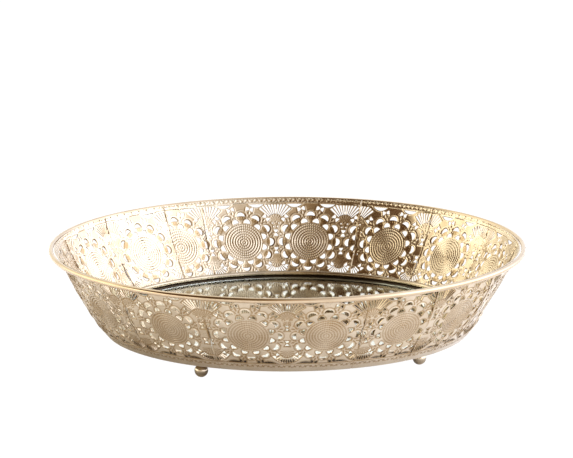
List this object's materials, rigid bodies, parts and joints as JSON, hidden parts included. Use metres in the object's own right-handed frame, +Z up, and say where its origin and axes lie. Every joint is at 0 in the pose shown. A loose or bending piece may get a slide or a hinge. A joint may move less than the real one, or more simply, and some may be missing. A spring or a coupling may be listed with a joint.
{
  "type": "round footed serving tray",
  "caption": "Round tray with a flared wall of pierced brass sheets, a wire rim, a mirror floor in a bead ring and small ball feet.",
  "frame": {"origin": "on the floor under the centre of the tray, at the bottom of the ball feet", "axes": "+Z up, -Y towards the front of the tray, +X to the right seen from the front"},
  "size_m": [0.35, 0.35, 0.0754],
  "materials": {
    "lace_brass": "satin champagne brass, embossed and pierced",
    "rim_brass": "polished brass wire",
    "pan_brass": "spun sheet, satin",
    "bead_brass": "polished brass",
    "foot_brass": "turned and polished brass",
    "mirror": "silvered float glass",
    "board": "brown hardboard",
    "screw_steel": "zinc-plated steel"
  },
  "bodies": {
    "root": {"wall_sheet_01": "lace_brass", "wall_sheet_02": "lace_brass", "wall_sheet_03": "lace_brass", "wall_sheet_04": "lace_brass", "wall_sheet_05": "lace_brass", "wall_sheet_06": "lace_brass", "wall_sheet_07": "lace_brass", "wall_sheet_08": "lace_brass", "wall_sheet_09": "lace_brass", "wall_sheet_10": "lace_brass", "wall_sheet_11": "lace_brass", "wall_sheet_12": "lace_brass", "wall_sheet_13": "lace_brass", "wall_sheet_14": "lace_brass", "rim_hoop": "rim_brass", "base_pan": "pan_brass", "mirror_bead": "bead_brass", "mirror_glass": "mirror", "backing_board": "board", "foot_ball_1": "foot_brass", "foot_collar_1": "foot_brass", "foot_screw_1": "screw_steel", "foot_ball_2": "foot_brass", "foot_collar_2": "foot_brass", "foot_screw_2": "screw_steel", "foot_ball_3": "foot_brass", "foot_collar_3": "foot_brass", "foot_screw_3": "screw_steel", "foot_ball_4": "foot_brass", "foot_collar_4": "foot_brass", "foot_screw_4": "screw_steel"}
  },
  "joints": []
}
